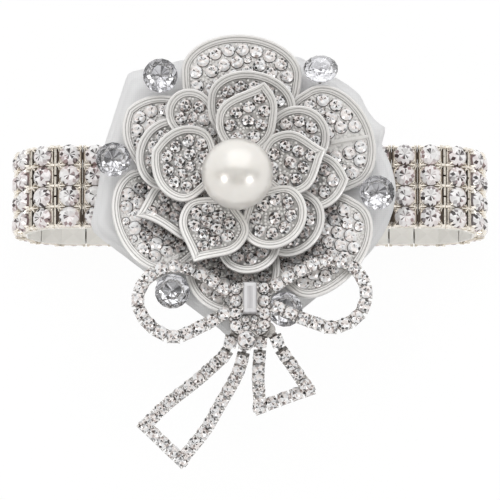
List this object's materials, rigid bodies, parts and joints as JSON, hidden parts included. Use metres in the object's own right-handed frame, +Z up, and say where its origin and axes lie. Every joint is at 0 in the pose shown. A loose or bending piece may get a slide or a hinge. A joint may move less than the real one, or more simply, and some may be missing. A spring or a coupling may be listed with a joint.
{
  "type": "wrist corsage",
  "caption": "Wrist corsage: a layered stone-set metal flower with a pearl centre and a bow of cup chain on white ribbon, carried by a stretch bracelet of stone-set bars.",
  "frame": {"origin": "middle of the bounding box, on the table under the back of the bracelet", "axes": "+X along the bracelet's long way, to the right as worn and pictured; +Y across the band, away from the bow's tails; +Z up, out of the flower's face"},
  "size_m": [0.0824, 0.0726, 0.0414],
  "materials": {
    "silver": "bright silver plate with fine ridges round the rims",
    "stone_silver": "silver plated cups set with clear round stones",
    "crystal": "clear cut crystal",
    "pearl": "pearl lustre",
    "ribbon": "white sheer ribbon",
    "elastic": "flat dark elastic"
  },
  "bodies": {
    "corsage": {"keeper_plate": "stone_silver", "bar_back_center": "stone_silver", "elastic_upper": "elastic", "elastic_lower": "elastic", "ribbon_left": "ribbon", "ribbon_right": "ribbon", "centre_post": "silver", "petals_outer": "silver", "petals_middle": "silver", "petals_inner": "silver", "pearl": "pearl", "gem_pin_top_left": "crystal", "gem_pin_top_right": "crystal", "gem_pin_left": "crystal", "gem_pin_right": "crystal", "gem_pin_lower_left": "crystal", "gem_pin_lower_right": "crystal", "bow_loop_left": "stone_silver", "bow_loop_right": "stone_silver", "bow_knot": "stone_silver", "baguette_crystal": "crystal"},
    "end_right": {"bar_end_right_1": "stone_silver", "bar_end_right_2": "stone_silver", "bar_end_right_3": "stone_silver", "bar_end_right_4": "stone_silver", "bar_end_right_5": "stone_silver"},
    "end_left": {"bar_end_left_1": "stone_silver", "bar_end_left_2": "stone_silver", "bar_end_left_3": "stone_silver", "bar_end_left_4": "stone_silver", "bar_end_left_5": "stone_silver"},
    "back_right_1": {"bar_back_right_1": "stone_silver"},
    "back_right_2": {"bar_back_right_2": "stone_silver"},
    "back_right_3": {"bar_back_right_3": "stone_silver"},
    "back_right_4": {"bar_back_right_4": "stone_silver"},
    "back_right_5": {"bar_back_right_5": "stone_silver"},
    "back_right_6": {"bar_back_right_6": "stone_silver"},
    "back_right_7": {"bar_back_right_7": "stone_silver"},
    "back_left_1": {"bar_back_left_1": "stone_silver"},
    "back_left_2": {"bar_back_left_2": "stone_silver"},
    "back_left_3": {"bar_back_left_3": "stone_silver"},
    "back_left_4": {"bar_back_left_4": "stone_silver"},
    "back_left_5": {"bar_back_left_5": "stone_silver"},
    "back_left_6": {"bar_back_left_6": "stone_silver"},
    "back_left_7": {"bar_back_left_7": "stone_silver"},
    "front_right_1": {"bar_front_right_1": "stone_silver"},
    "front_right_2": {"bar_front_right_2": "stone_silver"},
    "front_right_3": {"bar_front_right_3": "stone_silver"},
    "front_right_4": {"bar_front_right_4": "stone_silver"},
    "front_left_1": {"bar_front_left_1": "stone_silver"},
    "front_left_2": {"bar_front_left_2": "stone_silver"},
    "front_left_3": {"bar_front_left_3": "stone_silver"},
    "front_left_4": {"bar_front_left_4": "stone_silver"},
    "tail_left": {"bow_tail_left": "stone_silver"},
    "tail_right": {"bow_tail_right": "stone_silver"}
  },
  "joints": [
    {"name": "stretch", "type": "slide", "parent": "corsage", "child": "end_right", "axis": [1, 0, 0], "range_m": [0, 0.009], "stiffness_N_per_m": 150, "deforming": ["elastic_upper", "elastic_lower"]},
    {"name": "stretch_end_left", "type": "slide", "parent": "corsage", "child": "end_left", "axis": [-1, 0, 0], "range_m": [0, 0.009]},
    {"name": "spread_back_right_1", "type": "slide", "parent": "corsage", "child": "back_right_1", "axis": [1, 0, 0], "range_m": [0, 0.00112]},
    {"name": "spread_back_right_2", "type": "slide", "parent": "corsage", "child": "back_right_2", "axis": [1, 0, 0], "range_m": [0, 0.00225]},
    {"name": "spread_back_right_3", "type": "slide", "parent": "corsage", "child": "back_right_3", "axis": [1, 0, 0], "range_m": [0, 0.00337]},
    {"name": "spread_back_right_4", "type": "slide", "parent": "corsage", "child": "back_right_4", "axis": [1, 0, 0], "range_m": [0, 0.0045]},
    {"name": "spread_back_right_5", "type": "slide", "parent": "corsage", "child": "back_right_5", "axis": [1, 0, 0], "range_m": [0, 0.00562]},
    {"name": "spread_back_right_6", "type": "slide", "parent": "corsage", "child": "back_right_6", "axis": [1, 0, 0], "range_m": [0, 0.00675]},
    {"name": "spread_back_right_7", "type": "slide", "parent": "corsage", "child": "back_right_7", "axis": [1, 0, 0], "range_m": [0, 0.00788]},
    {"name": "spread_back_left_1", "type": "slide", "parent": "corsage", "child": "back_left_1", "axis": [-1, 0, 0], "range_m": [0, 0.00112]},
    {"name": "spread_back_left_2", "type": "slide", "parent": "corsage", "child": "back_left_2", "axis": [-1, 0, 0], "range_m": [0, 0.00225]},
    {"name": "spread_back_left_3", "type": "slide", "parent": "corsage", "child": "back_left_3", "axis": [-1, 0, 0], "range_m": [0, 0.00337]},
    {"name": "spread_back_left_4", "type": "slide", "parent": "corsage", "child": "back_left_4", "axis": [-1, 0, 0], "range_m": [0, 0.0045]},
    {"name": "spread_back_left_5", "type": "slide", "parent": "corsage", "child": "back_left_5", "axis": [-1, 0, 0], "range_m": [0, 0.00562]},
    {"name": "spread_back_left_6", "type": "slide", "parent": "corsage", "child": "back_left_6", "axis": [-1, 0, 0], "range_m": [0, 0.00675]},
    {"name": "spread_back_left_7", "type": "slide", "parent": "corsage", "child": "back_left_7", "axis": [-1, 0, 0], "range_m": [0, 0.00788]},
    {"name": "spread_front_right_1", "type": "slide", "parent": "corsage", "child": "front_right_1", "axis": [1, 0, 0], "range_m": [0, 0.0018]},
    {"name": "spread_front_right_2", "type": "slide", "parent": "corsage", "child": "front_right_2", "axis": [1, 0, 0], "range_m": [0, 0.0036]},
    {"name": "spread_front_right_3", "type": "slide", "parent": "corsage", "child": "front_right_3", "axis": [1, 0, 0], "range_m": [0, 0.0054]},
    {"name": "spread_front_right_4", "type": "slide", "parent": "corsage", "child": "front_right_4", "axis": [1, 0, 0], "range_m": [0, 0.0072]},
    {"name": "spread_front_left_1", "type": "slide", "parent": "corsage", "child": "front_left_1", "axis": [-1, 0, 0], "range_m": [0, 0.0018]},
    {"name": "spread_front_left_2", "type": "slide", "parent": "corsage", "child": "front_left_2", "axis": [-1, 0, 0], "range_m": [0, 0.0036]},
    {"name": "spread_front_left_3", "type": "slide", "parent": "corsage", "child": "front_left_3", "axis": [-1, 0, 0], "range_m": [0, 0.0054]},
    {"name": "spread_front_left_4", "type": "slide", "parent": "corsage", "child": "front_left_4", "axis": [-1, 0, 0], "range_m": [0, 0.0072]},
    {"name": "swing_tail_left", "type": "hinge", "parent": "corsage", "child": "tail_left", "pos_m": [-0.0019, -0.01461, 0.0256], "axis": [0, 0, 1], "range_deg": [-14, 4]},
    {"name": "swing_tail_right", "type": "hinge", "parent": "corsage", "child": "tail_right", "pos_m": [0.0029, -0.01441, 0.0256], "axis": [0, 0, 1], "range_deg": [-3, 16]}
  ],
  "couplings": [
    {"joint": "stretch_end_left", "follows": "stretch", "ratio": 1},
    {"joint": "spread_back_right_1", "follows": "stretch", "ratio": 0.125},
    {"joint": "spread_back_right_2", "follows": "stretch", "ratio": 0.25},
    {"joint": "spread_back_right_3", "follows": "stretch", "ratio": 0.375},
    {"joint": "spread_back_right_4", "follows": "stretch", "ratio": 0.5},
    {"joint": "spread_back_right_5", "follows": "stretch", "ratio": 0.625},
    {"joint": "spread_back_right_6", "follows": "stretch", "ratio": 0.75},
    {"joint": "spread_back_right_7", "follows": "stretch", "ratio": 0.875},
    {"joint": "spread_back_left_1", "follows": "stretch", "ratio": 0.125},
    {"joint": "spread_back_left_2", "follows": "stretch", "ratio": 0.25},
    {"joint": "spread_back_left_3", "follows": "stretch", "ratio": 0.375},
    {"joint": "spread_back_left_4", "follows": "stretch", "ratio": 0.5},
    {"joint": "spread_back_left_5", "follows": "stretch", "ratio": 0.625},
    {"joint": "spread_back_left_6", "follows": "stretch", "ratio": 0.75},
    {"joint": "spread_back_left_7", "follows": "stretch", "ratio": 0.875},
    {"joint": "spread_front_right_1", "follows": "stretch", "ratio": 0.2},
    {"joint": "spread_front_right_2", "follows": "stretch", "ratio": 0.4},
    {"joint": "spread_front_right_3", "follows": "stretch", "ratio": 0.6},
    {"joint": "spread_front_right_4", "follows": "stretch", "ratio": 0.8},
    {"joint": "spread_front_left_1", "follows": "stretch", "ratio": 0.2},
    {"joint": "spread_front_left_2", "follows": "stretch", "ratio": 0.4},
    {"joint": "spread_front_left_3", "follows": "stretch", "ratio": 0.6},
    {"joint": "spread_front_left_4", "follows": "stretch", "ratio": 0.8}
  ]
}
